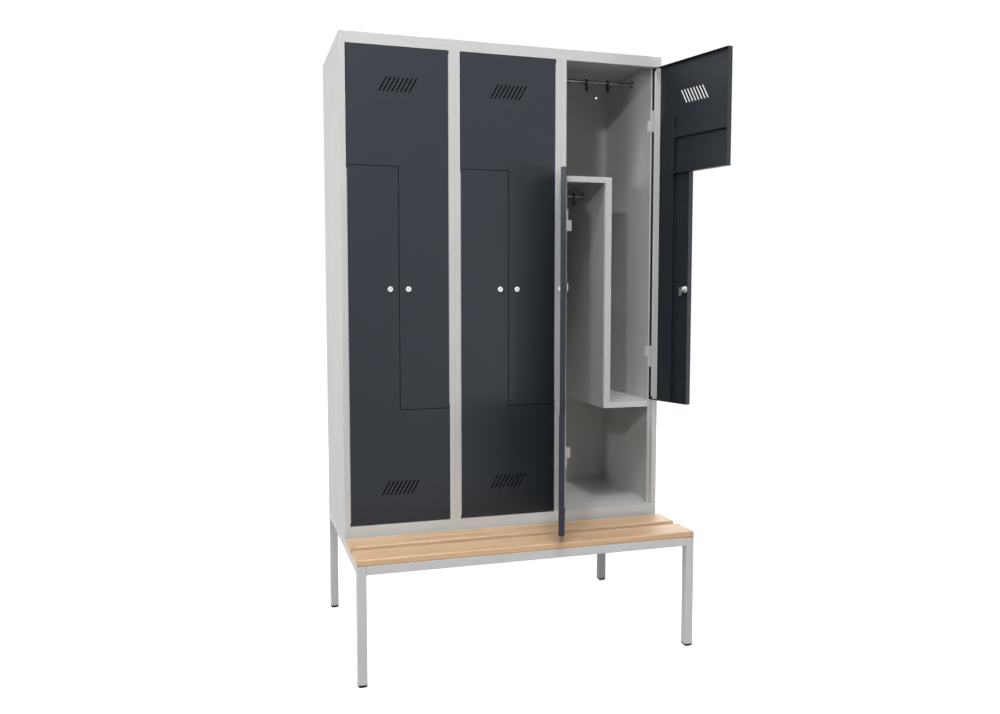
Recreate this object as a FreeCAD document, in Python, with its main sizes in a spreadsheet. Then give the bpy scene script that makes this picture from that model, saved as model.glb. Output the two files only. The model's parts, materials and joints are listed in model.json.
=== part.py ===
import FreeCAD, Part
import os
import types

import Sketcher

# A three-column locker with interlocking Z doors on a bench underframe.
# Frame: millimetres, +Z up, front towards -Y, origin on the floor at the middle of the four feet.

SIZES = {
    # Overall sizes
    "cabinet_width": 1200,
    "cabinet_depth": 500,
    "cabinet_height": 1750,
    "bench_depth": 300,
    "bench_height": 400,
    # Cabinet shell
    "gauge": 1,
    "post_width": 20,
    "top_rail": 38,
    "bottom_rail": 52,
    "seam": 0.3,
    "stop_setback": 22,
    "stop_width": 10,
    "stop_strip": 6,
    "stop_recess": 7,
    "cover_overlap": 5,
    "cover_tail": 3,
    "cover_setback": 0.5,
    "cover_notch": 13,
    "foot_flange": 28,
    "wall_hole_radius": 4.5,
    "wall_hole_inset": 50,
    "wall_hole_drop": 52,
    # Z dividers
    "divider_width": 27,
    "upper_shelf_gap": 5.5,
    "lower_shelf_gap": 6,
    "shelf_lip": 21,
    "strike_room": 10,
    "strike_web": 2,
    # Doors
    "door_gap": 2.5,
    "door_depth": 20,
    "split_gap": 2.5,
    "split_rise": 424,
    "upper_door_angle": 105.5,
    "lower_door_angle": 111.6,
    "louvre_height": 49,
    "louvre_width": 5,
    "louvre_lean": 27.5,
    "louvre_pitch": 15,
    "louvre_inset": 129,
    # Door stiffeners
    "hat_inset": 4,
    "hat_width": 84,
    "hat_depth": 14,
    "hat_start": 198,
    "cross_hat_inset": 259,
    "cross_hat_height": 38,
    "cross_hat_slope": 5,
    "cross_hat_depth": 12,
    # Hinges
    "pin_inset": 9,
    "pin_setback": 6,
    "rod_radius": 2.5,
    "rod_play": 0.05,
    "rod_overrun": 6,
    "collar_radius": 4,
    "collar_height": 5,
    "collar_play": 0.3,
    "hub_radius": 4.2,
    "arm_gauge": 3,
    "arm_play": 0.5,
    "arm_band": 3.5,
    "arm_leg": 6,
    "arm_reach": 22,
    "arm_chamfer": 3,
    "neck_edge": 0.8,
    "bracket_wide_inset": 215.5,
    "bracket_narrow_inset": 188,
    "bracket_height": 40,
    "lower_bracket_overhang": 32,
    "upper_bracket_overhang": 23,
    "bracket_tail": 14,
    "tongue_height": 40,
    "lower_tongue_width": 32,
    "upper_tongue_width": 20,
    "lug_gauge": 4,
    "lug_width": 9,
    # Locks
    "lock_offset": 32,
    "rosette_radius": 9.5,
    "rosette_height": 6.5,
    "rosette_bevel": 1.5,
    "barrel_radius": 8,
    "barrel_length": 18,
    "barrel_play": 0.1,
    "lock_nut_radius": 12,
    "lock_nut_height": 3,
    "plug_radius": 5,
    "plug_play": 0.05,
    "plug_recess": 0.3,
    "key_width": 1.4,
    "key_height": 6,
    "key_depth": 2,
    "cam_play": 1.5,
    "cam_gauge": 2.5,
    "cam_width": 14,
    "cam_reach": 22,
    # Coat rails and hooks
    "rail_radius": 7,
    "rail_drop": 48,
    "flange_radius": 17,
    "flange_gauge": 3,
    "hook_gauge": 6,
    "hook_band": 4,
    "hook_play": 0.4,
    "hook_shank": 28,
    "hook_bend": 7,
    "hook_tip": 7,
    "hook_a_shift": 0,
    "hook_b_shift": 90,
    "hook_c_shift": -51,
    # Bench underframe and seat
    "tube": 30,
    "tube_wall": 1.5,
    "middle_rail_lead": 25,
    "slat_width": 114,
    "slat_gauge": 21,
    "slat_round": 4,
    "slat_back_gap": 32,
    "slat_end_inset": 0.5,
    "foot_height": 10,
    "foot_chamfer": 6,
    "spigot_length": 14,
    "spigot_play": 0.1,
    "screw_radius": 2.5,
    "screw_play": 0.05,
    "screw_head_radius": 5,
    "screw_head_height": 3,
    "screw_bite": 12,
    "screw_front_inset": 52,
    "screw_back_inset": 22,
    "bolt_radius": 4,
    "bolt_play": 0.1,
    "bolt_head_radius": 7,
    "bolt_head_height": 5,
    "bolt_inset": 60,
}
COLUMNS = 3
LOUVRES = 8


class Size:
    """A length that carries its sheet formula together with its present value."""

    def __init__(self, text, value):
        self.text = text
        self.value = value

    def __add__(self, other):
        other = as_size(other)
        return Size("(%s + %s)" % (self.text, other.text), self.value + other.value)

    def __sub__(self, other):
        other = as_size(other)
        return Size("(%s - %s)" % (self.text, other.text), self.value - other.value)

    def __rsub__(self, other):
        return as_size(other) - self

    def __mul__(self, other):
        other = as_size(other)
        return Size("(%s * %s)" % (self.text, other.text), self.value * other.value)

    def __truediv__(self, other):
        other = as_size(other)
        return Size("(%s / %s)" % (self.text, other.text), self.value / other.value)

    def __neg__(self):
        return self * -1

    __radd__ = __add__
    __rmul__ = __mul__


def as_size(value):
    if isinstance(value, Size):
        return value
    return Size("(%s)" % value, value)


doc = FreeCAD.newDocument("z_locker_with_bench")
sheet = doc.addObject("Spreadsheet::Sheet", "sizes")
for row, (alias, number) in enumerate(SIZES.items(), start=1):
    sheet.set("A%d" % row, alias)
    sheet.set("B%d" % row, str(number))
    sheet.setAlias("B%d" % row, alias)
doc.recompute()
dim = types.SimpleNamespace(**{alias: Size("sizes." + alias, number) for alias, number in SIZES.items()})

nodes = {}


def node(name, piece):
    piece.Label = name
    nodes[name] = piece
    return piece


def bind(piece, **formulas):
    for name, formula in formulas.items():
        piece.setExpression(name, as_size(formula).text)


def put(piece, x, y, z, turn=None):
    """Moves a piece to a point and, when asked, turns it about the vertical there."""
    if turn is not None:
        upright = FreeCAD.Vector(0, 0, 1)
        piece.Placement = FreeCAD.Placement(FreeCAD.Vector(), FreeCAD.Rotation(upright, turn.value))
        piece.setExpression("Placement.Rotation.Angle", turn.text)
    for axis, formula in zip("xyz", (x, y, z)):
        piece.setExpression("Placement.Base." + axis, as_size(formula).text)
    return piece


def span(start, first, second, side):
    """Low and high limits of a stretch measured from a start point towards one side."""
    if side > 0:
        return start + first, start + second
    return start - second, start - first


def block(name, x, y, z):
    """A plate or bar between low and high limits along each axis."""
    piece = doc.addObject("Part::Box", name)
    bind(piece, Length=x[1] - x[0], Width=y[1] - y[0], Height=z[1] - z[0])
    return put(piece, x[0], y[0], z[0])


TURNS = {
    "x": FreeCAD.Rotation(FreeCAD.Vector(0, 1, 0), 90),
    "y": FreeCAD.Rotation(FreeCAD.Vector(1, 0, 0), -90),
    "z": FreeCAD.Rotation(),
}


def rod(name, axis, radius, x, y, z, length):
    """A round bar that starts at a point and runs along one axis."""
    piece = doc.addObject("Part::Cylinder", name)
    bind(piece, Radius=radius, Height=length)
    piece.Placement = FreeCAD.Placement(FreeCAD.Vector(), TURNS[axis])
    return put(piece, x, y, z)


def hexagon(name, radius, x, y, z, height):
    piece = doc.addObject("Part::Prism", name)
    piece.Polygon = 6
    bind(piece, Circumradius=radius, Height=height)
    return put(piece, x, y, z)


def fuse(name, pieces):
    piece = doc.addObject("Part::MultiFuse", name)
    piece.Shapes = pieces
    piece.Refine = True
    return piece


def gather(name, pieces):
    """Separate solids kept side by side as one group."""
    piece = doc.addObject("Part::Compound", name)
    piece.Links = pieces
    return piece


def cut(name, base, tools):
    piece = doc.addObject("Part::Cut", name)
    piece.Base = base
    piece.Tool = tools[0] if len(tools) == 1 else gather(name + "_cutters", tools)
    piece.Refine = True
    return piece


def new_body(name):
    return doc.addObject("PartDesign::Body", name)


def sketch_on(body, name, role, offset):
    sketch = body.newObject("Sketcher::SketchObject", name)
    plane = next(item for item in body.Origin.OriginFeatures if item.Role == role)
    sketch.AttachmentSupport = [(plane, "")]
    sketch.MapMode = "FlatFace"
    sketch.setExpression("AttachmentOffset.Base.z", as_size(offset).text)
    return sketch


def pin_point(sketch, geometry, position, point):
    for kind, formula in zip(("DistanceX", "DistanceY"), point):
        formula = as_size(formula)
        rule = Sketcher.Constraint(kind, -1, 1, geometry, position, formula.value)
        index = sketch.addConstraint(rule)
        sketch.setExpression("Constraints[%d]" % index, formula.text)


def draw_outline(sketch, points):
    """A closed outline whose corners are all tied to the sheet."""
    corners = [FreeCAD.Vector(as_size(x).value, as_size(y).value, 0) for x, y in points]
    count = len(corners)
    for index in range(count):
        sketch.addGeometry(Part.LineSegment(corners[index], corners[(index + 1) % count]))
    for index in range(count):
        sketch.addConstraint(Sketcher.Constraint("Coincident", index, 2, (index + 1) % count, 1))
    for index, point in enumerate(points):
        pin_point(sketch, index, 1, point)
    return sketch


def pad(body, name, sketch, length, reverse=False):
    feature = body.newObject("PartDesign::Pad", name)
    feature.Profile = sketch
    bind(feature, Length=length)
    feature.Reversed = reverse
    sketch.Visibility = False
    return feature


def pocket(body, name, sketch, length, reverse=False):
    feature = body.newObject("PartDesign::Pocket", name)
    feature.Profile = sketch
    bind(feature, Length=length)
    feature.Reversed = reverse
    sketch.Visibility = False
    return feature


# Levels and planes that several pieces share
half_width = dim.cabinet_width / 2
pitch = dim.cabinet_width / COLUMNS
front = (dim.bench_depth - dim.cabinet_depth) / 2
back = (dim.bench_depth + dim.cabinet_depth) / 2
bench_front = front - dim.bench_depth
cabinet_top = dim.bench_height + dim.cabinet_height
opening_bottom = dim.bench_height + dim.bottom_rail
opening_top = cabinet_top - dim.top_rail
opening_height = opening_top - opening_bottom
middle = (opening_top + opening_bottom) / 2
half_opening = pitch / 2 - dim.post_width
stop_front = front + dim.stop_setback
stop_back = stop_front + dim.gauge
back_inside = back - dim.gauge
ceiling = cabinet_top - dim.gauge
upper_split = middle + dim.split_rise
lower_split = middle - dim.split_rise
shelf_high = upper_split - dim.upper_shelf_gap
shelf_low = lower_split - dim.lower_shelf_gap
rail_bottom = dim.bench_height - dim.tube
frame_inside = half_width - dim.tube
bolt_x = half_width - dim.tube / 2
bolt_rows = (front + dim.bolt_inset, back - dim.bolt_inset)


def centre(column):
    return pitch * (column - (COLUMNS + 1) / 2)


def left_face(column):
    if column == 1:
        return -half_width + dim.gauge
    return centre(column) - pitch / 2 + dim.gauge / 2


def right_face(column):
    if column == COLUMNS:
        return half_width - dim.gauge
    return centre(column) + pitch / 2 - dim.gauge / 2


# Cabinet shell

for name, side in (("left_side_panel", -1), ("right_side_panel", 1)):
    outer = half_width * side
    wall = block(
        name + "_wall",
        span(outer, -dim.gauge, as_size(0), side),
        (front + dim.gauge, back),
        (dim.bench_height, cabinet_top),
    )
    flange = block(
        name + "_flange",
        span(outer, -dim.foot_flange, -dim.gauge, side),
        (front + dim.tube, back_inside),
        (dim.bench_height, dim.bench_height + dim.gauge),
    )
    holes = [
        rod(
            "%s_bolt_hole_%d" % (name, index),
            "z",
            dim.bolt_radius + dim.bolt_play,
            bolt_x * side,
            y,
            dim.bench_height - dim.gauge,
            dim.gauge * 3,
        )
        for index, y in enumerate(bolt_rows)
    ]
    node(name, cut(name, fuse(name + "_sheet", [wall, flange]), holes))

back_sheet = block(
    "back_sheet",
    (-half_width + dim.gauge, half_width - dim.gauge),
    (back_inside, back),
    (dim.bench_height, ceiling),
)
wall_holes = [
    rod(
        "wall_hole_%d" % index,
        "y",
        dim.wall_hole_radius,
        (half_width - dim.wall_hole_inset) * side,
        back_inside - dim.gauge,
        cabinet_top - dim.wall_hole_drop,
        dim.gauge * 3,
    )
    for index, side in enumerate((-1, 1))
]
node("back_panel", cut("back_panel", back_sheet, wall_holes))

rail_limits = (-half_width + dim.post_width, half_width - dim.post_width)
top_pieces = [
    block(
        "top_sheet",
        (-half_width + dim.gauge, half_width - dim.gauge),
        (front + dim.gauge, back),
        (ceiling, cabinet_top),
    ),
    block("top_fold", rail_limits, (front, front + dim.gauge), (opening_top, cabinet_top)),
    block(
        "top_return",
        rail_limits,
        (front + dim.gauge, stop_back),
        (opening_top, opening_top + dim.gauge),
    ),
]
node("top_panel", fuse("top_panel", top_pieces))

floor_level = opening_bottom - dim.gauge
bottom_pieces = [
    block(
        "floor_sheet",
        (-half_width + dim.gauge, half_width - dim.gauge),
        (front + dim.gauge, back_inside),
        (floor_level, opening_bottom),
    ),
    block("bottom_fold", rail_limits, (front, front + dim.gauge), (dim.bench_height, opening_bottom)),
    block(
        "bottom_return",
        rail_limits,
        (front + dim.gauge, stop_back),
        (dim.bench_height, dim.bench_height + dim.gauge),
    ),
]
node("bottom_panel", fuse("bottom_panel", bottom_pieces))

for column in range(1, COLUMNS):
    x = centre(column) + pitch / 2
    sheet_limits = (x - dim.gauge / 2, x + dim.gauge / 2)
    name = "column_partition_%d" % column
    node(name, block(name, sheet_limits, (stop_back, back_inside), (opening_bottom, ceiling)))


def jamb(name, column, side):
    """One side of a door opening: face, web and stop, with a return on the lock side of the split
    and, along the hinge, a recessed channel behind a cover strip that is notched for the hinge arms."""
    edge = centre(column) + half_opening * side
    at_end = column == (1 if side < 0 else COLUMNS)
    face_edge = dim.post_width if at_end else dim.post_width - dim.seam / 2
    web_edge = dim.post_width - dim.gauge if at_end else face_edge
    stop_edge = web_edge if at_end else dim.post_width - dim.gauge / 2
    face_z = (dim.bench_height, cabinet_top) if at_end else (opening_bottom, opening_top)
    return_z = (upper_split, opening_top) if side < 0 else (opening_bottom, lower_split)
    hinge_z = (opening_bottom, upper_split) if side < 0 else (lower_split, opening_top)
    shelf_seat = shelf_high - dim.gauge
    stop_z = (shelf_seat, opening_top) if side < 0 else return_z
    channel_z = (opening_bottom, shelf_seat) if side < 0 else hinge_z
    cover_z = (hinge_z[0] + dim.cover_notch, hinge_z[1] - dim.cover_notch)
    opening_z = (opening_bottom, opening_top)
    face_back = front + dim.gauge
    cover_front = face_back + dim.cover_setback
    cover_back = cover_front + dim.gauge
    channel_back = stop_back + dim.stop_recess
    channel_edge = dim.stop_strip - dim.stop_width
    plates = (
        ("face", (as_size(0), face_edge), (front, face_back), face_z),
        ("web", (web_edge - dim.gauge, web_edge), (face_back, stop_front), opening_z),
        ("stop", (-dim.stop_width, stop_edge), (stop_front, stop_back), stop_z),
        ("return", (as_size(0), dim.gauge), (face_back, stop_front), return_z),
        ("strip", (-dim.stop_width, channel_edge), (stop_front, stop_back), channel_z),
        ("wall", (channel_edge - dim.gauge, channel_edge), (stop_back, channel_back), channel_z),
        ("floor", (channel_edge, stop_edge), (channel_back - dim.gauge, channel_back), channel_z),
        ("side", (stop_edge - dim.gauge, stop_edge), (stop_front, channel_back), channel_z),
        ("cover", (-dim.cover_overlap, dim.cover_tail), (cover_front, cover_back), cover_z),
        ("tail", (dim.cover_tail - dim.gauge, dim.cover_tail), (face_back, cover_back), cover_z),
    )
    pieces = [block("%s_%s" % (name, part), span(edge, x[0], x[1], side), y, z) for part, x, y, z in plates]
    return fuse(name, pieces)


node("left_post", jamb("left_post", 1, -1))
node("right_post", jamb("right_post", COLUMNS, 1))
for column in range(1, COLUMNS):
    halves = [
        jamb("mullion_%d_left_half" % column, column, 1),
        jamb("mullion_%d_right_half" % column, column + 1, -1),
    ]
    node("mullion_%d" % column, gather("mullion_%d" % column, halves))

# Z dividers with their strike plates

strike_plates = []
half_divider = dim.divider_width / 2
box_front = stop_back + dim.strike_room
for column in range(1, COLUMNS + 1):
    x = centre(column)
    name = "z_divider_%d" % column
    box_z = (shelf_low, shelf_high - dim.gauge)
    lip_left = x - half_opening + dim.stop_width
    lip_right = x + half_opening - dim.stop_width
    upper_shelf = [
        block(
            name + "_upper_shelf",
            (left_face(column), x + half_divider),
            (stop_back, back_inside),
            (shelf_high - dim.gauge, shelf_high),
        ),
        block(
            name + "_upper_lip",
            (lip_left, x + half_divider),
            (stop_front, stop_back),
            (shelf_high - dim.shelf_lip, shelf_high),
        ),
    ]
    lower_shelf = [
        block(
            name + "_lower_shelf",
            (x - half_divider, right_face(column)),
            (stop_back, back_inside),
            (shelf_low - dim.gauge, shelf_low),
        ),
        block(
            name + "_lower_lip",
            (x - half_divider, lip_right),
            (stop_front, stop_back),
            (shelf_low - dim.shelf_lip, shelf_low),
        ),
        block(
            name + "_lower_skirt",
            (x - half_divider, x - half_divider + dim.gauge),
            (stop_back, back_inside),
            (shelf_low - dim.shelf_lip, shelf_low),
        ),
    ]
    upright = [
        block(
            name + "_left_wall",
            (x - half_divider, x - half_divider + dim.gauge),
            (box_front, back_inside),
            box_z,
        ),
        block(
            name + "_right_wall",
            (x + half_divider - dim.gauge, x + half_divider),
            (box_front, back_inside),
            box_z,
        ),
        block(
            name + "_box_front",
            (x - half_divider, x + half_divider),
            (box_front, box_front + dim.gauge),
            box_z,
        ),
        block(
            name + "_strike_web",
            (x - dim.strike_web / 2, x + dim.strike_web / 2),
            (stop_back, box_front),
            box_z,
        ),
    ]
    panels = [
        fuse(name + "_upper_panel", upper_shelf),
        fuse(name + "_lower_panel", lower_shelf),
        fuse(name + "_upright", upright),
    ]
    node(name, gather(name, panels))
    strike_plates.append(
        block(
            "strike_plate_%d" % column,
            (x - half_divider, x + half_divider),
            (stop_front, stop_back),
            (shelf_low, shelf_high - dim.shelf_lip),
        )
    )
node("strike_plates", gather("strike_plates", strike_plates))

# Coat rails, each between two end flanges

rail_y = (front + back) / 2
upper_rail_z = ceiling - dim.rail_drop
lower_rail_z = shelf_high - dim.gauge - dim.rail_drop


def coat_rail(name, x_low, x_high, z):
    bar = rod(name + "_bar", "x", dim.rail_radius, x_low, rail_y, z, x_high - x_low)
    first = rod(name + "_first", "x", dim.flange_radius, x_low, rail_y, z, dim.flange_gauge)
    last = rod(
        name + "_last",
        "x",
        dim.flange_radius,
        x_high - dim.flange_gauge,
        rail_y,
        z,
        dim.flange_gauge,
    )
    return fuse(name, [bar, first, last])


rails = []
for column in range(1, COLUMNS + 1):
    partition = centre(column) - half_divider
    rails.append(
        coat_rail("upper_rail_%d" % column, left_face(column), right_face(column), upper_rail_z)
    )
    rails.append(coat_rail("lower_rail_%d" % column, left_face(column), partition, lower_rail_z))
node("coat_rails", gather("coat_rails", rails))


def hook(name, x, z):
    """A moulded hook: an eye around the rail, a shank and an upturned tip towards the door."""
    gauge = dim.hook_gauge
    half_band = dim.hook_band / 2
    x_low = x - gauge / 2
    x_limits = (x_low, x_low + gauge)
    eye_radius = dim.rail_radius + dim.hook_play
    shank_low = z - dim.hook_shank
    bend_y = rail_y - dim.hook_bend
    tip_y = bend_y - dim.hook_bend
    tip_high = shank_low + dim.hook_tip
    bend_radius = dim.hook_bend + half_band
    ring = rod(name + "_ring", "x", eye_radius + dim.hook_band, x_low, rail_y, z, gauge)
    shank = block(
        name + "_shank",
        x_limits,
        (rail_y - half_band, rail_y + half_band),
        (shank_low, z - eye_radius),
    )
    disc = rod(name + "_disc", "x", bend_radius, x_low, bend_y, shank_low, gauge)
    core = rod(name + "_core", "x", dim.hook_bend - half_band, x_low - gauge, bend_y, shank_low, gauge * 3)
    above = block(
        name + "_above",
        (x_low - gauge, x_low + gauge * 2),
        (bend_y - bend_radius * 2, bend_y + bend_radius * 2),
        (shank_low, shank_low + bend_radius * 2),
    )
    bend = cut(name + "_bend", disc, [fuse(name + "_clearance", [core, above])])
    tip = block(name + "_tip", x_limits, (tip_y - half_band, tip_y + half_band), (shank_low, tip_high))
    end = rod(name + "_end", "x", half_band, x_low, tip_y, tip_high, gauge)
    eye = rod(name + "_eye", "x", eye_radius, x_low - gauge, rail_y, z, gauge * 3)
    return cut(name, fuse(name + "_moulding", [ring, shank, bend, tip, end]), [eye])


for column in range(1, COLUMNS + 1):
    x = centre(column)
    for letter, shift, z in (
        ("a", dim.hook_a_shift, upper_rail_z),
        ("b", dim.hook_b_shift, upper_rail_z),
        ("c", dim.hook_c_shift, lower_rail_z),
    ):
        name = "hook_%d%s" % (column, letter)
        node(name, hook(name, x + shift, z))

# Doors. Each is drawn about its hinge axis at mid-height; along runs from the axis to the free edge
# and an upper door is a lower one turned half round about the front-to-back axis.

door_low = -(opening_height / 2) + dim.door_gap
wide_end = -dim.split_rise - dim.split_gap / 2
narrow_end = dim.split_rise - dim.split_gap / 2
hinge_edge = dim.pin_inset + dim.door_gap
free_edge = dim.pin_inset + half_opening * 2 - dim.door_gap
leg_edge = dim.pin_inset + half_opening - dim.split_gap / 2
opening_middle = dim.pin_inset + half_opening
door_front = -dim.pin_setback
skin_back = door_front + dim.gauge
door_back = door_front + dim.door_depth
lock_along = opening_middle - dim.lock_offset
hat_edge = hinge_edge + dim.hat_inset
hat_end = hat_edge + dim.hat_width
hat_crest = skin_back + dim.hat_depth
arm_back = dim.stop_setback - dim.pin_setback - dim.arm_play


def door_tray(name, side):
    """L-shaped tray, open along the hinge edge, with its ventilation slots and lock hole."""
    body = new_body(name)
    outline = [
        (hinge_edge, door_low),
        (free_edge, door_low),
        (free_edge, wide_end),
        (leg_edge, wide_end),
        (leg_edge, narrow_end),
        (hinge_edge, narrow_end),
    ]
    face = sketch_on(body, name + "_outline", "XZ_Plane", -door_front)
    draw_outline(face, [(x * side, z * side) for x, z in outline])
    pad(body, name + "_block", face, dim.door_depth, reverse=True)
    inner = [
        (hinge_edge - dim.gauge, door_low + dim.gauge),
        (free_edge - dim.gauge, door_low + dim.gauge),
        (free_edge - dim.gauge, wide_end - dim.gauge),
        (leg_edge - dim.gauge, wide_end - dim.gauge),
        (leg_edge - dim.gauge, narrow_end - dim.gauge),
        (hinge_edge - dim.gauge, narrow_end - dim.gauge),
    ]
    rear = sketch_on(body, name + "_hollow_outline", "XZ_Plane", -door_back)
    draw_outline(rear, [(x * side, z * side) for x, z in inner])
    pocket(body, name + "_hollow", rear, dim.door_depth - dim.gauge, reverse=True)
    bore = sketch_on(body, name + "_lock_outline", "XZ_Plane", -door_front)
    radius = dim.barrel_radius + dim.barrel_play
    circle = Part.Circle(
        FreeCAD.Vector((lock_along * side).value, 0, 0), FreeCAD.Vector(0, 0, 1), radius.value
    )
    bore.addGeometry(circle)
    bore.addConstraint(Sketcher.Constraint("PointOnObject", 0, 3, -1))
    along = bore.addConstraint(
        Sketcher.Constraint("DistanceX", -1, 1, 0, 3, (lock_along * side).value)
    )
    bore.setExpression("Constraints[%d]" % along, (lock_along * side).text)
    round_off = bore.addConstraint(Sketcher.Constraint("Radius", 0, radius.value))
    bore.setExpression("Constraints[%d]" % round_off, radius.text)
    pocket(body, name + "_lock_hole", bore, dim.gauge * 2)
    slot_x = opening_middle * side - dim.louvre_pitch * ((LOUVRES - 1) / 2)
    slot_z = (dim.louvre_inset - opening_height / 2) * side
    lean = dim.louvre_lean / 2
    half_slot = dim.louvre_width / 2
    rise = dim.louvre_height / 2
    slot = sketch_on(body, name + "_slot_outline", "XZ_Plane", -door_front)
    draw_outline(
        slot,
        [
            (slot_x - lean - half_slot, slot_z - rise),
            (slot_x - lean + half_slot, slot_z - rise),
            (slot_x + lean + half_slot, slot_z + rise),
            (slot_x + lean - half_slot, slot_z + rise),
        ],
    )
    first = pocket(body, name + "_slot", slot, dim.gauge * 2)
    row = body.newObject("PartDesign::LinearPattern", name + "_slots")
    row.Originals = [first]
    row.Direction = (slot, ["H_Axis"])
    bind(row, Length=dim.louvre_pitch * (LOUVRES - 1))
    row.Occurrences = LOUVRES
    body.Tip = row
    return body


def door_panel(name, side):
    """The tray in two parts, the wide one and the leg, that meet at the step."""
    tray = door_tray(name + "_tray", side)
    x = (-free_edge * 2, free_edge * 2)
    y = (door_front - dim.gauge, door_back + dim.gauge)
    zero = as_size(0)
    leg_room = block(name + "_leg_room", x, y, span(zero, wide_end, opening_height, side))
    wide_room = block(name + "_wide_room", x, y, span(zero, -opening_height, wide_end, side))
    parts = [cut(name + "_wide_part", tray, [leg_room]), cut(name + "_leg_part", tray, [wide_room])]
    return gather(name, parts)


def hinge_arm(name, side, z):
    """Goose-neck plate that reaches from the skin round the jamb's edge to the hinge rod."""
    body = new_body(name)
    inner = arm_back - dim.arm_band
    plan = [
        (-dim.hub_radius, -dim.rod_radius),
        (-dim.hub_radius, arm_back - dim.arm_chamfer),
        (dim.arm_chamfer - dim.hub_radius, arm_back),
        (dim.arm_reach, arm_back),
        (dim.arm_reach, skin_back),
        (dim.arm_reach - dim.arm_leg, skin_back),
        (dim.arm_reach - dim.arm_leg, inner),
        (dim.neck_edge, inner),
        (dim.neck_edge, -dim.rod_radius),
    ]
    low = span(as_size(0), z, z + dim.arm_gauge, side)[0]
    base = sketch_on(body, name + "_plan", "XY_Plane", low)
    draw_outline(base, [(x * side, y) for x, y in plan])
    pad(body, name + "_plate", base, dim.arm_gauge)
    for label, radius, feature in (
        ("hub", dim.hub_radius, pad),
        ("hole", dim.rod_radius + dim.rod_play, pocket),
    ):
        ring = sketch_on(body, "%s_%s_outline" % (name, label), "XY_Plane", low)
        ring.addGeometry(Part.Circle(FreeCAD.Vector(), FreeCAD.Vector(0, 0, 1), radius.value))
        ring.addConstraint(Sketcher.Constraint("Coincident", 0, 3, -1, 1))
        index = ring.addConstraint(Sketcher.Constraint("Radius", 0, radius.value))
        ring.setExpression("Constraints[%d]" % index, radius.text)
        feature(body, "%s_%s" % (name, label), ring, dim.arm_gauge, reverse=label == "hole")
    return body


def door_stiffener(name, side):
    """Upright and cross hats, neck plate and the two hinge arms of one door."""
    upright = new_body(name + "_upright")
    low, high = span(
        as_size(0), -(opening_height / 2) + dim.hat_start, narrow_end - dim.gauge, side
    )
    plan = [
        (hat_edge, skin_back),
        (hat_edge + dim.hat_depth, hat_crest),
        (hat_end, hat_crest),
        (hat_end, skin_back),
        (hat_end - dim.gauge, skin_back),
        (hat_end - dim.gauge, hat_crest - dim.gauge),
        (hat_edge + dim.hat_depth + dim.gauge / 2, hat_crest - dim.gauge),
        (hat_edge + dim.gauge * 1.5, skin_back),
    ]
    base = sketch_on(upright, name + "_upright_plan", "XY_Plane", low)
    draw_outline(base, [(x * side, y) for x, y in plan])
    pad(upright, name + "_upright_pad", base, high - low)

    cross = new_body(name + "_cross")
    cross_z = (dim.cross_hat_inset - opening_height / 2) * side
    half = dim.cross_hat_height / 2
    crest = skin_back + dim.cross_hat_depth
    shoulder = half - dim.cross_hat_slope
    section = [
        (skin_back, cross_z - half),
        (crest, cross_z - shoulder),
        (crest, cross_z + shoulder),
        (skin_back, cross_z + half),
        (skin_back, cross_z + half - dim.gauge),
        (crest - dim.gauge, cross_z + shoulder - dim.gauge),
        (crest - dim.gauge, cross_z - shoulder + dim.gauge),
        (skin_back, cross_z - half + dim.gauge),
    ]
    cross_limits = span(as_size(0), hat_end, free_edge - dim.gauge, side)
    profile = sketch_on(cross, name + "_cross_section", "YZ_Plane", cross_limits[0])
    draw_outline(profile, section)
    pad(cross, name + "_cross_pad", profile, cross_limits[1] - cross_limits[0])

    neck = block(
        name + "_neck",
        span(as_size(0), hat_end, leg_edge - dim.gauge, side),
        (skin_back, door_back),
        span(as_size(0), wide_end - dim.gauge, wide_end, side),
    )
    arms = [
        hinge_arm(name + "_wide_arm", side, door_low + dim.gauge),
        hinge_arm(name + "_narrow_arm", side, narrow_end - dim.gauge - dim.arm_gauge),
    ]
    return fuse(name, [upright, cross, neck] + arms)


def lock_body(name, side):
    x = lock_along * side
    zero = as_size(0)
    bevel = doc.addObject("Part::Cone", name + "_bevel")
    bind(
        bevel,
        Radius1=dim.rosette_radius - dim.rosette_bevel,
        Radius2=dim.rosette_radius,
        Height=dim.rosette_bevel,
    )
    bevel.Placement = FreeCAD.Placement(FreeCAD.Vector(), TURNS["y"])
    put(bevel, x, door_front - dim.rosette_height, zero)
    rosette = rod(
        name + "_rosette",
        "y",
        dim.rosette_radius,
        x,
        door_front - dim.rosette_height + dim.rosette_bevel,
        zero,
        dim.rosette_height - dim.rosette_bevel,
    )
    barrel = rod(name + "_barrel", "y", dim.barrel_radius, x, door_front, zero, dim.barrel_length)
    nut = rod(name + "_nut", "y", dim.lock_nut_radius, x, skin_back, zero, dim.lock_nut_height)
    bore = rod(
        name + "_bore",
        "y",
        dim.plug_radius + dim.plug_play,
        x,
        door_front - dim.rosette_height * 2,
        zero,
        dim.barrel_length + dim.rosette_height * 3,
    )
    return cut(name, fuse(name + "_turned", [bevel, rosette, barrel, nut]), [bore])


cam_front = dim.stop_setback + dim.gauge - dim.pin_setback + dim.cam_play


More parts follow.
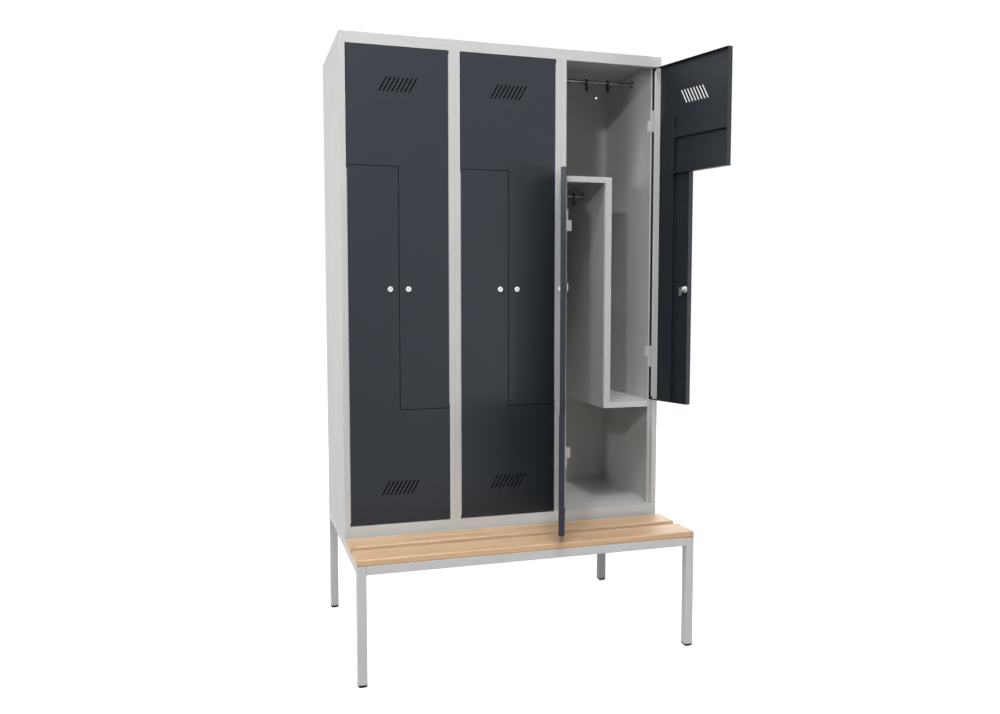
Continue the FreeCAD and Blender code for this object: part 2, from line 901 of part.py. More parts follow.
def lock_cam(name, side):
    """Lock plug with its key slot and the cam plate, drawn unlocked."""
    x = lock_along * side
    zero = as_size(0)
    plug_front = door_front - dim.rosette_height + dim.plug_recess
    plug = rod(name + "_plug", "y", dim.plug_radius, x, plug_front, zero, cam_front - plug_front)
    plate = block(
        name + "_plate",
        (x - dim.cam_width / 2, x + dim.cam_width / 2),
        (cam_front, cam_front + dim.cam_gauge),
        span(zero, -dim.cam_width / 2, dim.cam_reach, side),
    )
    key = block(
        name + "_key",
        (x - dim.key_width / 2, x + dim.key_width / 2),
        (plug_front - dim.gauge, plug_front + dim.key_depth),
        (-dim.key_height / 2, dim.key_height / 2),
    )
    return cut(name, fuse(name + "_turning", [plug, plate]), [key])


hinge_rods = []
hinge_brackets = []
for column in range(1, COLUMNS + 1):
    for level, side in (("lower", 1), ("upper", -1)):
        name = "door_%d_%s" % (column, level)
        hinge_x = centre(column) - (half_opening + dim.pin_inset) * side
        hinge_y = front + dim.pin_setback
        turn = None
        if column == COLUMNS:
            turn = -dim.lower_door_angle if side > 0 else dim.upper_door_angle
        for piece in (
            node(name + "_panel", door_panel(name + "_panel", side)),
            node(name + "_stiffener", door_stiffener(name + "_stiffener", side)),
            node(name + "_lock", lock_body(name + "_lock", side)),
            node(name + "_cam", lock_cam(name + "_cam", side)),
        ):
            put(piece, hinge_x, hinge_y, middle, turn)

        wide_stop = -(opening_height / 2)
        rod_limits = span(middle, wide_stop, dim.split_rise + dim.rod_overrun, side)
        lower_arm = middle + door_low + dim.gauge
        if side < 0:
            lower_arm = middle - narrow_end + dim.gauge
        collar_top = lower_arm - dim.collar_play
        collar_low = opening_bottom if side > 0 else collar_top - dim.collar_height
        pieces = [
            rod(
                name + "_rod_bar",
                "z",
                dim.rod_radius,
                hinge_x,
                hinge_y,
                rod_limits[0],
                rod_limits[1] - rod_limits[0],
            ),
            rod(
                name + "_rod_collar",
                "z",
                dim.collar_radius,
                hinge_x,
                hinge_y,
                collar_low,
                collar_top - collar_low,
            ),
        ]
        hinge_rods.append(fuse(name + "_rod", pieces))

        edge = centre(column) - half_opening * side
        plate_y = (stop_front - dim.gauge, stop_front)
        overhang = dim.lower_bracket_overhang if side > 0 else dim.upper_bracket_overhang
        tongue_width = dim.lower_tongue_width if side > 0 else dim.upper_tongue_width
        lug_y = (hinge_y - dim.lug_width / 2, stop_front - dim.gauge)
        lug_x = (hinge_x - dim.lug_width / 2, hinge_x + dim.lug_width / 2)
        for end, inset, tip in (
            ("wide", dim.bracket_wide_inset - opening_height / 2, -1),
            ("narrow", dim.split_rise - dim.bracket_narrow_inset, 1),
        ):
            title = "%s_%s_bracket" % (name, end)
            level_z = middle + inset * side
            away = tip * side
            half = dim.bracket_height / 2
            tongue_end = half + dim.tongue_height
            lug_near = span(level_z, half - dim.lug_gauge, half, away)
            lug_far = span(level_z, tongue_end - dim.lug_gauge, tongue_end, away)
            plates = [
                block(
                    title + "_tab",
                    span(edge, -overhang, dim.bracket_tail, -side),
                    plate_y,
                    (level_z - half, level_z + half),
                ),
                block(
                    title + "_tongue",
                    span(edge, dim.bracket_tail - tongue_width, dim.bracket_tail, -side),
                    plate_y,
                    span(level_z, half, tongue_end, away),
                ),
                block(title + "_near_lug", lug_x, lug_y, lug_near),
                block(title + "_far_lug", lug_x, lug_y, lug_far),
            ]
            hole = rod(
                title + "_hole",
                "z",
                dim.rod_radius + dim.rod_play,
                hinge_x,
                hinge_y,
                level_z - tongue_end - dim.gauge,
                (tongue_end + dim.gauge) * 2,
            )
            hinge_brackets.append(cut(title, fuse(title + "_plates", plates), [hole]))
node("hinge_rods", gather("hinge_rods", hinge_rods))
node("hinge_brackets", gather("hinge_brackets", hinge_brackets))

# Bench underframe of square tube


def tube_bar(name, x, y, z, along):
    wall = dim.tube_wall
    limits = {"x": x, "y": y, "z": z}
    inner = {
        axis: (low, high) if axis == along else (low + wall, high - wall)
        for axis, (low, high) in limits.items()
    }
    outer = block(name + "_outer", x, y, z)
    hollow = block(name + "_hollow", inner["x"], inner["y"], inner["z"])
    return cut(name, outer, [hollow])


frame_z = (rail_bottom, dim.bench_height)
leg_rows = ((bench_front, bench_front + dim.tube), (back - dim.tube, back))
leg_sides = ((-half_width, -frame_inside), (frame_inside, half_width))
legs = []
feet = []


def foot(name, x, y):
    """Plastic foot: a chamfered pad under the tube and a spigot inside it."""
    body = new_body(name)
    half = dim.tube / 2
    base = sketch_on(body, name + "_outline", "XY_Plane", 0)
    draw_outline(base, [(-half, -half), (half, -half), (half, half), (-half, half)])
    sole = pad(body, name + "_sole", base, dim.foot_height)
    doc.recompute()
    edges = [
        "Edge%d" % index
        for index, edge in enumerate(sole.Shape.Edges, start=1)
        if edge.BoundBox.ZMax < (dim.foot_height / 2).value
    ]
    bevel = body.newObject("PartDesign::Chamfer", name + "_bevel")
    bevel.Base = (sole, edges)
    bind(bevel, Size=dim.foot_chamfer)
    inner = half - dim.tube_wall - dim.spigot_play
    top = sketch_on(body, name + "_spigot_outline", "XY_Plane", dim.foot_height)
    draw_outline(top, [(-inner, -inner), (inner, -inner), (inner, inner), (-inner, inner)])
    pad(body, name + "_spigot", top, dim.spigot_length)
    return put(body, x, y, 0)


for row, y in enumerate(leg_rows):
    for column, x in enumerate(leg_sides):
        legs.append(tube_bar("leg_%d%d" % (row, column), x, y, (dim.foot_height, dim.bench_height), "z"))
        feet.append(foot("foot_%d%d" % (row, column), (x[0] + x[1]) / 2, (y[0] + y[1]) / 2))
node("bench_legs", gather("bench_legs", legs))
node("bench_feet", gather("bench_feet", feet))

between = (-frame_inside, frame_inside)
node("bench_front_rail", tube_bar("bench_front_rail", between, leg_rows[0], frame_z, "x"))
middle_y = front - dim.middle_rail_lead
cross_rails = [
    tube_bar("middle_rail", between, (middle_y, middle_y + dim.tube), frame_z, "x"),
    tube_bar("rear_rail", between, leg_rows[1], frame_z, "x"),
]
node("bench_cross_rails", gather("bench_cross_rails", cross_rails))

front_slat_y = (bench_front, bench_front + dim.slat_width)
rear_slat_y = (front - dim.slat_back_gap - dim.slat_width, front - dim.slat_back_gap)
screw_rows = {
    "front": (front_slat_y[0] + dim.screw_front_inset, front_slat_y[1] - dim.screw_back_inset),
    "rear": (rear_slat_y[0] + dim.screw_back_inset, rear_slat_y[1] - dim.screw_back_inset),
}
screw_hole = dim.screw_radius + dim.screw_play
seat_top = dim.bench_height + dim.slat_gauge

side_rails = []
for column, x in enumerate(leg_sides):
    name = "side_rail_%d" % column
    x_mid = (x[0] + x[1]) / 2
    bar = tube_bar(name + "_bar", x, (leg_rows[0][1], leg_rows[1][0]), frame_z, "y")
    drill = (rail_bottom - dim.gauge, dim.tube + dim.gauge * 2)
    holes = [
        rod("%s_screw_%s%d" % (name, seat, index), "z", screw_hole, x_mid, y, drill[0], drill[1])
        for seat, rows in screw_rows.items()
        for index, y in enumerate(rows)
    ]
    holes += [
        rod(
            "%s_bolt_%d" % (name, index),
            "z",
            dim.bolt_radius + dim.bolt_play,
            x_mid,
            y,
            drill[0],
            drill[1],
        )
        for index, y in enumerate(bolt_rows)
    ]
    side_rails.append(cut(name, bar, holes))
node("bench_side_rails", gather("bench_side_rails", side_rails))

# Wooden seat slats with rounded long edges, and their screws


def slat(name, y, rows):
    body = new_body(name + "_board")
    end = half_width - dim.slat_end_inset
    profile = sketch_on(body, name + "_section", "YZ_Plane", -end)
    z = (dim.bench_height, seat_top)
    draw_outline(profile, [(y[0], z[0]), (y[1], z[0]), (y[1], z[1]), (y[0], z[1])])
    board = pad(body, name + "_plank", profile, end * 2)
    doc.recompute()
    edges = [
        "Edge%d" % index
        for index, edge in enumerate(board.Shape.Edges, start=1)
        if edge.BoundBox.XLength > end.value
    ]
    rounding = body.newObject("PartDesign::Fillet", name + "_rounding")
    rounding.Base = (board, edges)
    bind(rounding, Radius=dim.slat_round)
    holes = [
        rod(
            "%s_pilot_%d%d" % (name, index, number),
            "z",
            screw_hole,
            bolt_x * side,
            row_y,
            dim.bench_height - dim.gauge,
            dim.screw_bite + dim.gauge * 2,
        )
        for index, row_y in enumerate(rows)
        for number, side in enumerate((-1, 1))
    ]
    return cut(name, body, holes)


node("front_slat", slat("front_slat", front_slat_y, screw_rows["front"]))
node("rear_slat", slat("rear_slat", rear_slat_y, screw_rows["rear"]))

fasteners = []
for side in (-1, 1):
    x = bolt_x * side
    for seat, rows in screw_rows.items():
        for index, y in enumerate(rows):
            name = "%s_screw_%d%d" % (seat, index, side + 1)
            shank = rod(
                name + "_shank",
                "z",
                dim.screw_radius,
                x,
                y,
                rail_bottom - dim.screw_head_height,
                dim.screw_head_height + dim.tube + dim.screw_bite,
            )
            head = rod(
                name + "_head",
                "z",
                dim.screw_head_radius,
                x,
                y,
                rail_bottom - dim.screw_head_height,
                dim.screw_head_height,
            )
            fasteners.append(fuse(name, [shank, head]))
    for index, y in enumerate(bolt_rows):
        name = "cabinet_bolt_%d%d" % (index, side + 1)
        low = rail_bottom - dim.bolt_head_height
        nut_z = dim.bench_height + dim.gauge
        shank = rod(name + "_shank", "z", dim.bolt_radius, x, y, low, nut_z - low + dim.bolt_head_height)
        head = hexagon(name + "_head", dim.bolt_head_radius, x, y, low, dim.bolt_head_height)
        nut = hexagon(name + "_nut", dim.bolt_head_radius, x, y, nut_z, dim.bolt_head_height)
        fasteners.append(fuse(name, [shank, head, nut]))
node("bench_fasteners", gather("bench_fasteners", fasteners))

doc.recompute()
for item in doc.Objects:
    if "Invalid" in item.State or "Error" in item.State:
        raise RuntimeError("%s did not build: %s" % (item.Label, item.State))
for name, piece in nodes.items():
    if piece.Shape.isNull() or not piece.Shape.isValid():
        raise RuntimeError("%s has no valid shape" % name)

os.makedirs("parts", exist_ok=True)
for name, piece in nodes.items():
    piece.Shape.exportStep("parts/%s.step" % name)
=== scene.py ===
import json
import math

import bmesh
import bpy
from mathutils import Matrix, Vector


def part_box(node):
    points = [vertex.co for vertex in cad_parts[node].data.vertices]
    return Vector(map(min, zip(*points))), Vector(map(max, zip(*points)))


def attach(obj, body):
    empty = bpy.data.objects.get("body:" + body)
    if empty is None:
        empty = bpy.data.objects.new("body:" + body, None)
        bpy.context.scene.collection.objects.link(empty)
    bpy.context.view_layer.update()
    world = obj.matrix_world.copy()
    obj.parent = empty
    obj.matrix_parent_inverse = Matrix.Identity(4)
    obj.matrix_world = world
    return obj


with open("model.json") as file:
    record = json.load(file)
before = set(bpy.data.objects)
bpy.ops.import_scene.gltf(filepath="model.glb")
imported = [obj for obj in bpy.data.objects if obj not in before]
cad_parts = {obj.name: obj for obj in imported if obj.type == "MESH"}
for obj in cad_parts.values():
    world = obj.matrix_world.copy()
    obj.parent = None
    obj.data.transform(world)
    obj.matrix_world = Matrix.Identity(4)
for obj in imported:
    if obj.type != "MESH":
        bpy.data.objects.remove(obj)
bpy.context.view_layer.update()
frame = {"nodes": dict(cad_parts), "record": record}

nodes = frame["nodes"]
scene = bpy.context.scene

# Photograph: viewpoint in metres, direction in degrees, lens and sensor in millimetres
CAMERA_PLACE = (-0.98066, -3.19143, 1.27335)
CAMERA_YAW = 17.05
CAMERA_PITCH = -4.18
CAMERA_LENS = 32.13
SENSOR_WIDTH = 36.0

# Lamps: name, azimuth, elevation, distance from LAMP_CENTRE, size and power,
# in degrees, metres and watts
LAMP_CENTRE = (0.0, 0.0, 1.2)
LAMPS = (
    ("key", -32, 22, 6.15, (0.3, 0.3), 66.0),
    ("side_key", -56, 8, 6.0, (1.7, 0.9), 74.0),
    ("top", -15, 69, 5.0, (3.2, 3.0), 138.0),
    ("edge", -1.5, 62, 5.1, (0.25, 0.2), 54.0),
    ("over", -35, 48, 5.5, (3.0, 3.0), 30.0),
    ("side", -100, 0, 4.2, (2.2, 1.7), 63.0),
    ("fill", 40, -6, 6.0, (2.0, 1.2), 72.0),
    ("rear", 145, 14, 5.2, (2.8, 2.6), 85.0),
)

# Floor and room: size in metres, then shares of white
FLOOR_REACH = 30.0
FLOOR_MATT = 0.78
FLOOR_BOUNCE = 0.31
FLOOR_MIRRORED = 0.75
GLOW_NEAR, GLOW_FAR = 0.86, 1.0
GLOW_START, GLOW_END = 0.9, 2.6
ROOM_STRENGTH = 0.045
WHITE = (1.0, 1.0, 1.0, 1.0)

# Paint, wood, metal and plastic, as linear colours
BODY_GREY = (0.600, 0.605, 0.595)
# A lighter copy of BODY_GREY for the bench frame, as painted light on its legs and rails
FRAME_GREY_PAINTED_LIGHT = (0.665, 0.670, 0.665)
DOOR_GREY = (0.0128, 0.0168, 0.0228)
DOOR_GLOSS_TINT = (0.95, 0.99, 1.06)
BLACK = (0.012, 0.012, 0.013)
FOOT_BLACK = (0.003, 0.003, 0.003)
CHROME = (0.97, 0.97, 0.965)
ZINC = (0.72, 0.72, 0.71)
RAIL_STEEL = (0.33, 0.33, 0.325)
STAVE_TONES = (
    (0.00, (0.665, 0.425, 0.240)),
    (0.35, (0.745, 0.500, 0.302)),
    (0.70, (0.775, 0.540, 0.342)),
    (1.00, (0.700, 0.455, 0.268)),
)

# Gloss of the two paints
PAINT_ROUGHNESS, PAINT_SPECULAR = 0.46, 0.40
DOOR_ROUGHNESS, DOOR_SPECULAR = 0.40, 0.46

# Staves of the seat in metres, and how far the grain and pores are drawn out along them
STAVE_LENGTH = 0.29
STAVE_WIDTH = 0.028
STAVE_OFFSET = 0.37
GLUE_LINE = 0.00022
GRAIN_STRETCH = (5.0, 210.0, 210.0)
PORE_STRETCH = (60.0, 900.0, 900.0)
GRAIN_SHIFT = 23.0

# Places of the rail flanges and hinge brackets, in metres
PITCH = 0.400
SHEET = 0.001
DIVIDER_WIDTH = 0.027
FLANGE_RADIUS = 0.017
FLANGE_GAUGE = 0.003
OPENING = 0.360
DOOR_MIDDLE = 1.282
TAB_FRONT = -0.079
TAB_MIDDLE = 0.0145
TAB_FAR = 0.6145
TAB_NEAR = 0.236

# Fastener heads: sizes in metres, half the distance in a pair, then shares of the height
SCREW_RADIUS, SCREW_HEIGHT, SCREW_REACH = 0.0034, 0.0018, 0.012
RIVET_RADIUS, RIVET_HEIGHT, RIVET_REACH = 0.0032, 0.0012, 0.011
HEAD_RINGS, HEAD_SIDES = 14, 48
RIM_SHARE, DOME_SHARE, RECESS_SHARE = 0.35, 0.65, 0.75

# Depth in the jambs behind which painted shade darkens the hinge channel, in metres, and how it fades
CHANNEL_DEPTH = -0.0772
CHANNEL_FADE = 0.002
CHANNEL_SHADE = 0.05

# Edge radius of each finish and of the bench's tubes, in metres
EDGE_RADIUS = {
    "body_paint": 0.0004,
    "door_paint": 0.0004,
    "beech": 0.0004,
    "chrome": 0.0003,
    "lock_steel": 0.0002,
    "rail_steel": 0.0004,
    "black_plastic": 0.0002,
    "foot_plastic": 0.0008,
}
TUBE_RADIUS = 0.0022
WELD_DISTANCE = 0.00001
SHARP_ANGLE = 35

# Sockets of the colour mix node, whose names repeat for each data type
MIX_A, MIX_B, MIX_RESULT = 6, 7, 2


def grey(level):
    return (level, level, level, 1.0)


def add(tree, kind, **settings):
    """Adds a shader node; a setting that names an input socket sets it, any other an attribute."""
    node = tree.nodes.new(kind)
    for name, value in settings.items():
        socket = next((s for s in node.inputs if s.name.lower().replace(" ", "_") == name), None)
        if socket is None:
            setattr(node, name, value)
        elif isinstance(value, bpy.types.NodeSocket):
            tree.links.new(value, socket)
        else:
            socket.default_value = value
    return node


def new_material(name):
    """A material with its node tree, its shader and the place on the object."""
    material = bpy.data.materials.new(name)
    material.use_nodes = True
    tree = material.node_tree
    return material, tree, tree.nodes["Principled BSDF"], object_place(tree)


def object_place(tree):
    return tree.nodes.new("ShaderNodeTexCoord").outputs["Object"]


def stretch(tree, vector, scale):
    return add(tree, "ShaderNodeMapping", vector=vector, scale=scale).outputs["Vector"]


def noise(tree, vector, scale, detail=2.0, roughness=0.5):
    node = add(
        tree,
        "ShaderNodeTexNoise",
        vector=vector,
        scale=scale,
        detail=detail,
        roughness=roughness,
    )
    return node.outputs["Fac"]


def spread(tree, value, low, high, from_low=0.3, from_high=0.7):
    """Maps one range onto another; the default range is the usual one of a noise."""
    node = add(
        tree,
        "ShaderNodeMapRange",
        value=value,
        from_min=from_low,
        from_max=from_high,
        to_min=low,
        to_max=high,
    )
    return node.outputs["Result"]


def shade(tree, colour, *factors):
    """Colour times grey factors."""
    for factor in factors:
        node = tree.nodes.new("ShaderNodeMix")
        node.data_type = "RGBA"
        node.blend_type = "MULTIPLY"
        node.inputs["Factor"].default_value = 1.0
        if isinstance(colour, bpy.types.NodeSocket):
            tree.links.new(colour, node.inputs[MIX_A])
        else:
            node.inputs[MIX_A].default_value = (*colour, 1.0)
        tree.links.new(factor, node.inputs[MIX_B])
        colour = node.outputs[MIX_RESULT]
    return colour


def bump(tree, height, strength, distance, shader):
    node = add(tree, "ShaderNodeBump", height=height, strength=strength, distance=distance)
    tree.links.new(node.outputs["Normal"], shader.inputs["Normal"])


def powder_coat(name, colour, roughness, specular, tint=(1.0, 1.0, 1.0), painted_shade_depth=None):
    """Powder coat with fine orange peel and faint mottling, and painted shade past a depth if one is
    given.
    """
    material, tree, shader, place = new_material(name)
    mottle = spread(tree, noise(tree, place, 5.0, 4.0), 0.96, 1.03)
    speckle = spread(tree, noise(tree, place, 1400.0, 1.0), 0.93, 1.07)
    tone = shade(tree, colour, mottle, speckle)
    # Painted shade: past the given depth the colour falls to CHANNEL_SHADE of itself, standing in for
    # the shade deep in the hinge channel
    if painted_shade_depth is not None:
        depth = add(tree, "ShaderNodeSeparateXYZ", vector=place).outputs["Y"]
        painted_shade = spread(tree, depth, 1.0, CHANNEL_SHADE, painted_shade_depth, painted_shade_depth + CHANNEL_FADE)
        tone = shade(tree, tone, painted_shade)
    tree.links.new(tone, shader.inputs["Base Color"])
    gloss = spread(tree, noise(tree, place, 60.0, 3.0), roughness - 0.04, roughness + 0.05)
    tree.links.new(gloss, shader.inputs["Roughness"])
    shader.inputs["Specular IOR Level"].default_value = specular
    shader.inputs["Specular Tint"].default_value = (*tint, 1.0)
    bump(tree, noise(tree, place, 620.0, 3.0, 0.6), 0.10, 0.0004, shader)
    return material


def staved_wood(name):
    """Board glued up from short staves, each with its own tone and grain, under clear lacquer."""
    material, tree, shader, place = new_material(name)
    staves = add(
        tree,
        "ShaderNodeTexBrick",
        vector=place,
        scale=1.0,
        color1=grey(0.0),
        color2=WHITE,
        mortar=grey(0.35),
        mortar_size=GLUE_LINE,
        mortar_smooth=0.2,
        bias=0.0,
        brick_width=STAVE_LENGTH,
        row_height=STAVE_WIDTH,
        offset=STAVE_OFFSET,
        squash=1.0,
    )
    stave = staves.outputs["Color"]
    tones = add(tree, "ShaderNodeValToRGB", fac=stave)
    ramp = tones.color_ramp
    while len(ramp.elements) < len(STAVE_TONES):
        ramp.elements.new(0.5)
    for element, (position, colour) in zip(ramp.elements, STAVE_TONES):
        element.position = position
        element.color = (*colour, 1.0)
    shift = tree.nodes.new("ShaderNodeMath")
    shift.operation = "MULTIPLY"
    shift.inputs[1].default_value = GRAIN_SHIFT
    tree.links.new(stave, shift.inputs[0])
    grain = add(
        tree,
        "ShaderNodeTexNoise",
        noise_dimensions="4D",
        vector=stretch(tree, place, GRAIN_STRETCH),
        w=shift.outputs["Value"],
        scale=1.0,
        detail=5.0,
        roughness=0.62,
        distortion=0.7,
    ).outputs["Fac"]
    streak = spread(tree, grain, 0.84, 1.12, 0.28, 0.72)
    pores = noise(tree, stretch(tree, place, PORE_STRETCH), 1.0, 2.0)
    fleck = spread(tree, pores, 0.84, 1.0, 0.30, 0.42)
    joint = spread(tree, staves.outputs["Fac"], 1.0, 0.80, 0.0, 1.0)
    colour = shade(tree, tones.outputs["Color"], streak, fleck, joint)
    tree.links.new(colour, shader.inputs["Base Color"])
    tree.links.new(spread(tree, grain, 0.54, 0.44), shader.inputs["Roughness"])
    shader.inputs["Specular IOR Level"].default_value = 0.30
    bump(tree, fleck, 0.18, 0.0003, shader)
    return material


def plated(name, colour, roughness, drawn, metallic=1.0):
    """Bare or plated metal with fine lines along its drawing direction."""
    material, tree, shader, place = new_material(name)
    lines = noise(tree, stretch(tree, place, drawn), 1.0, 3.0)
    cloud = spread(tree, noise(tree, place, 90.0, 3.0), 0.90, 1.04)
    tree.links.new(shade(tree, colour, cloud), shader.inputs["Base Color"])
    shader.inputs["Metallic"].default_value = metallic
    gloss = spread(tree, lines, roughness * 0.75, roughness * 1.35)
    tree.links.new(gloss, shader.inputs["Roughness"])
    bump(tree, lines, 0.05, 0.0002, shader)
    return material


def moulded_plastic(name, colour, roughness, specular=0.5):
    """Moulded black plastic with a fine spark-eroded grain."""
    material, tree, shader, place = new_material(name)
    scuffs = spread(tree, noise(tree, place, 45.0, 4.0), 0.8, 1.5)
    tree.links.new(shade(tree, colour, scuffs), shader.inputs["Base Color"])
    gloss = spread(tree, noise(tree, place, 300.0, 2.0), roughness - 0.08, roughness + 0.08)
    tree.links.new(gloss, shader.inputs["Roughness"])
    shader.inputs["Specular IOR Level"].default_value = specular
    bump(tree, noise(tree, place, 1500.0, 2.0), 0.15, 0.0002, shader)
    return material


MATERIALS = {
    "body_paint": powder_coat("body_paint", BODY_GREY, PAINT_ROUGHNESS, PAINT_SPECULAR),
    "door_paint": powder_coat(
        "door_paint", DOOR_GREY, DOOR_ROUGHNESS, DOOR_SPECULAR, DOOR_GLOSS_TINT
    ),
    "beech": staved_wood("beech"),
    "chrome": plated("chrome", CHROME, 0.30, (30.0, 400.0, 400.0), 0.2),
    "lock_steel": plated("lock_steel", ZINC, 0.30, (40.0, 40.0, 500.0)),
    "rail_steel": plated("rail_steel", RAIL_STEEL, 0.18, (25.0, 900.0, 900.0)),
    "black_plastic": moulded_plastic("black_plastic", BLACK, 0.45),
    "foot_plastic": moulded_plastic("foot_plastic", FOOT_BLACK, 0.60, 0.15),
}

# The hinge channels in the jambs are deep and narrow; painted shade darkens them inside
JAMBS = ("left_post", "right_post", "mullion_1", "mullion_2")
JAMB_PAINT_CHANNEL_SHADE = powder_coat(
    "jamb_paint", BODY_GREY, PAINT_ROUGHNESS, PAINT_SPECULAR, painted_shade_depth=CHANNEL_DEPTH
)

# The bench frame gets a copy of the cabinet paint a shade lighter than the cabinet: painted light,
# standing in for the light that the lamps give the legs and rails too little of
TUBES = ("bench_legs", "bench_front_rail", "bench_side_rails", "bench_cross_rails")
FRAME_PAINT_PAINTED_LIGHT = powder_coat("frame_paint", FRAME_GREY_PAINTED_LIGHT, PAINT_ROUGHNESS, PAINT_SPECULAR)
PAINT_WITH_PAINTED_LIGHT_AND_SHADE = {**dict.fromkeys(JAMBS, JAMB_PAINT_CHANNEL_SHADE), **dict.fromkeys(TUBES, FRAME_PAINT_PAINTED_LIGHT)}


def soften(piece, radius):
    """Rounds sharp edges slightly, as folded or drawn metal has them."""
    weld = piece.modifiers.new("weld", "WELD")
    weld.merge_threshold = WELD_DISTANCE
    bevel = piece.modifiers.new("edges", "BEVEL")
    bevel.width = radius
    bevel.segments = 2
    bevel.limit_method = "ANGLE"
    bevel.angle_limit = math.radians(SHARP_ANGLE)
    bevel.harden_normals = True


def dress_nodes():
    """Gives every CAD node its material and softened edges."""
    for entry in frame["record"]["subparts"]:
        piece = nodes[entry["node"]]
        finish = entry["material_slot"]
        piece.data.materials.clear()
        piece.data.materials.append(PAINT_WITH_PAINTED_LIGHT_AND_SHADE.get(entry["node"], MATERIALS[finish]))
        soften(piece, TUBE_RADIUS if entry["node"] in TUBES else EDGE_RADIUS[finish])


def smooth_step(value, low, high):
    t = min(1.0, max(0.0, (value - low) / (high - low)))
    return t * t * (3.0 - 2.0 * t)


def cross_recess(x, y):
    """Depth share of a cross recess at a point of a head of radius 1."""
    arms = [1.0 - smooth_step(abs(a), 0.13, 0.19) for a in (x, y)]
    reach = 1.0 - smooth_step(math.hypot(x, y), 0.50, 0.60)
    return max(arms) * reach


def mandrel_dimple(x, y):
    """Depth share of the dimple that a blind rivet's mandrel leaves."""
    return 1.0 - smooth_step(math.hypot(x, y), 0.20, 0.32)


def add_heads(name, places, radius, height, recess, finish):
    """Domed fastener heads, each at a point on a face with that face's outward direction."""
    shape = bmesh.new()
    turns = [2.0 * math.pi * side / HEAD_SIDES for side in range(HEAD_SIDES)]
    for place, outward in places:
        turn = Vector(outward).to_track_quat("Z", "Y").to_matrix().to_4x4()
        stand = Matrix.Translation(place) @ turn
        rows = []
        for ring in range(HEAD_RINGS + 1):
            r = 1.0 - ring / HEAD_RINGS
            row = []
            for angle in turns if r > 0 else turns[:1]:
                x, y = r * math.cos(angle), r * math.sin(angle)
                dome = (RIM_SHARE + DOME_SHARE * math.sqrt(max(0.0, 1.0 - r * r))) * height
                z = dome - RECESS_SHARE * height * recess(x, y)
                row.append(shape.verts.new(stand @ Vector((x * radius, y * radius, z))))
            rows.append(row)
        foot = []
        for angle in turns:
            rim = Vector((radius * math.cos(angle), radius * math.sin(angle), 0.0))
            foot.append(shape.verts.new(stand @ rim))
        rows.insert(0, foot)
        shape.faces.new(list(reversed(foot)))
        for low, high in zip(rows, rows[1:]):
            for side in range(HEAD_SIDES):
                near, far = side, (side + 1) % HEAD_SIDES
                if len(high) == 1:
                    shape.faces.new((low[near], low[far], high[0]))
                else:
                    shape.faces.new((low[near], low[far], high[far], high[near]))
    for face in shape.faces:
        face.smooth = len(face.verts) < 5
    mesh = bpy.data.meshes.new(name)
    shape.to_mesh(mesh)
    shape.free()
    mesh.materials.append(MATERIALS[finish])
    piece = bpy.data.objects.new(name, mesh)
    scene.collection.objects.link(piece)
    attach(piece, "cabinet")


def add_fixings():
    """Screws in the rail flanges and rivets in the hinge brackets."""
    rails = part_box("coat_rails")
    middle_y = (rails[0][1] + rails[1][1]) / 2
    upper_z = rails[1][2] - FLANGE_RADIUS
    lower_z = rails[0][2] + FLANGE_RADIUS
    screws, rivets = [], []
    for column in range(3):
        centre = PITCH * (column - 1)
        left = rails[0][0] if column == 0 else centre - PITCH / 2 + SHEET / 2
        right = rails[1][0] if column == 2 else centre + PITCH / 2 - SHEET / 2
        ends = (
            (left, upper_z, 1.0),
            (right, upper_z, -1.0),
            (left, lower_z, 1.0),
            (centre - DIVIDER_WIDTH / 2, lower_z, -1.0),
        )
        for x, z, way in ends:
            for lift in (-SCREW_REACH, SCREW_REACH):
                place = (x + way * FLANGE_GAUGE, middle_y, z + lift)
                screws.append((place, (way, 0.0, 0.0)))
        for way in (1.0, -1.0):
            x = centre - way * (OPENING / 2 - TAB_MIDDLE)
            for rise in (DOOR_MIDDLE - way * TAB_FAR, DOOR_MIDDLE + way * TAB_NEAR):
                for lift in (-RIVET_REACH, RIVET_REACH):
                    rivets.append(((x, TAB_FRONT, rise + lift), (0.0, -1.0, 0.0)))
    add_heads("rail_screws", screws, SCREW_RADIUS, SCREW_HEIGHT, cross_recess, "lock_steel")
    add_heads("bracket_rivets", rivets, RIVET_RADIUS, RIVET_HEIGHT, mandrel_dimple, "body_paint")


def background_rays(tree):
    """Two switches: rays from the camera, and all that show the background.

    The second adds the rays that are mirrored or go through glass.
    """
    path = tree.nodes.new("ShaderNodeLightPath")
    shown = path.outputs["Is Camera Ray"]
    for kind in ("Is Glossy Ray", "Is Transmission Ray"):
        either = add(tree, "ShaderNodeMath", operation="MAXIMUM")
        tree.links.new(shown, either.inputs[0])
        tree.links.new(path.outputs[kind], either.inputs[1])
        shown = either.outputs["Value"]
    return path.outputs["Is Camera Ray"], shown


def choose_shader(tree, factor, first, second):
    """The first shader where the factor is 0, the second where it is 1."""
    node = add(tree, "ShaderNodeMixShader", fac=factor)
    tree.links.new(first.outputs[0], node.inputs[1])
    tree.links.new(second.outputs[0], node.inputs[2])
    return node


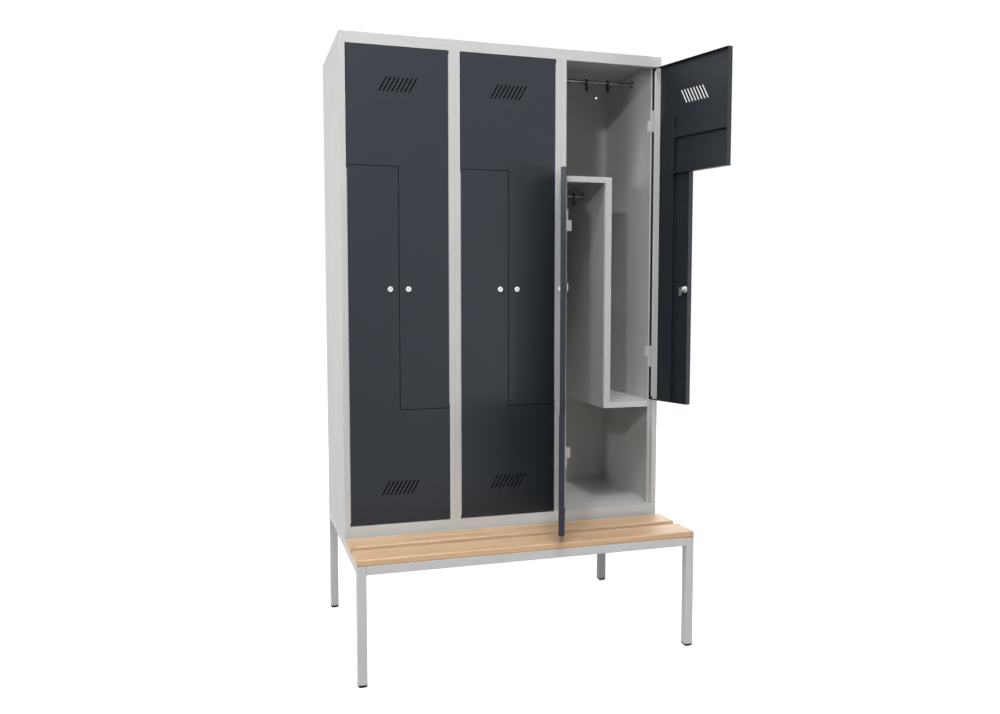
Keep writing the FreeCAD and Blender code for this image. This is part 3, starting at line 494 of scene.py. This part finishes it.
def add_stage():
    """A pale floor that runs out to white and keeps the object's soft shadow."""
    mesh = bpy.data.meshes.new("floor")
    shape = bmesh.new()
    bmesh.ops.create_grid(shape, x_segments=1, y_segments=1, size=FLOOR_REACH)
    shape.to_mesh(mesh)
    shape.free()
    floor = bpy.data.objects.new("floor", mesh)
    scene.collection.objects.link(floor)
    material = bpy.data.materials.new("floor")
    material.use_nodes = True
    tree = material.node_tree
    tree.nodes.clear()
    camera, shown = background_rays(tree)
    matt = add(tree, "ShaderNodeBsdfDiffuse", color=grey(FLOOR_MATT))
    dull = add(tree, "ShaderNodeBsdfDiffuse", color=grey(FLOOR_BOUNCE))
    radius = tree.nodes.new("ShaderNodeVectorMath")
    radius.operation = "LENGTH"
    tree.links.new(object_place(tree), radius.inputs[0])
    lift = spread(tree, radius.outputs["Value"], GLOW_NEAR, GLOW_FAR, GLOW_START, GLOW_END)
    glow = add(tree, "ShaderNodeEmission", color=WHITE, strength=lift)
    bright = tree.nodes.new("ShaderNodeAddShader")
    tree.links.new(matt.outputs["BSDF"], bright.inputs[0])
    tree.links.new(glow.outputs["Emission"], bright.inputs[1])
    pale = add(tree, "ShaderNodeEmission", color=WHITE, strength=FLOOR_MIRRORED)
    surface = choose_shader(tree, camera, choose_shader(tree, shown, dull, pale), bright)
    out = tree.nodes.new("ShaderNodeOutputMaterial")
    tree.links.new(surface.outputs["Shader"], out.inputs["Surface"])
    mesh.materials.append(material)


def add_world():
    """White where the background shows, a soft overcast room for everything else."""
    world = bpy.data.worlds.new("studio")
    scene.world = world
    world.use_nodes = True
    tree = world.node_tree
    tree.nodes.clear()
    shown = background_rays(tree)[1]
    room = add(tree, "ShaderNodeBackground", color=WHITE, strength=ROOM_STRENGTH)
    white = add(tree, "ShaderNodeBackground", color=WHITE, strength=1.0)
    sky = choose_shader(tree, shown, room, white)
    out = tree.nodes.new("ShaderNodeOutputWorld")
    tree.links.new(sky.outputs["Shader"], out.inputs["Surface"])


def add_softbox(name, azimuth, elevation, distance, size, power):
    """A soft lamp around the locker; azimuth runs from straight ahead towards the right."""
    lamp = bpy.data.lights.new(name, "AREA")
    lamp.shape = "RECTANGLE"
    lamp.size, lamp.size_y = size
    lamp.energy = power
    box = bpy.data.objects.new(name, lamp)
    turn, rise = math.radians(azimuth), math.radians(elevation)
    level = math.cos(rise)
    outward = Vector((math.sin(turn) * level, -math.cos(turn) * level, math.sin(rise)))
    box.location = Vector(LAMP_CENTRE) + outward * distance
    box.rotation_euler = (-outward).to_track_quat("-Z", "Y").to_euler()
    scene.collection.objects.link(box)


def add_camera():
    lens = bpy.data.cameras.new("photo_view")
    lens.sensor_fit = "HORIZONTAL"
    lens.sensor_width = SENSOR_WIDTH
    lens.lens = CAMERA_LENS
    camera = bpy.data.objects.new("photo_view", lens)
    camera.location = CAMERA_PLACE
    camera.rotation_euler = (math.radians(90 + CAMERA_PITCH), 0, math.radians(-CAMERA_YAW))
    scene.collection.objects.link(camera)
    scene.camera = camera


dress_nodes()
add_fixings()
add_stage()
add_world()
for lamp_settings in LAMPS:
    add_softbox(*lamp_settings)
add_camera()
scene.view_settings.view_transform = "Standard"
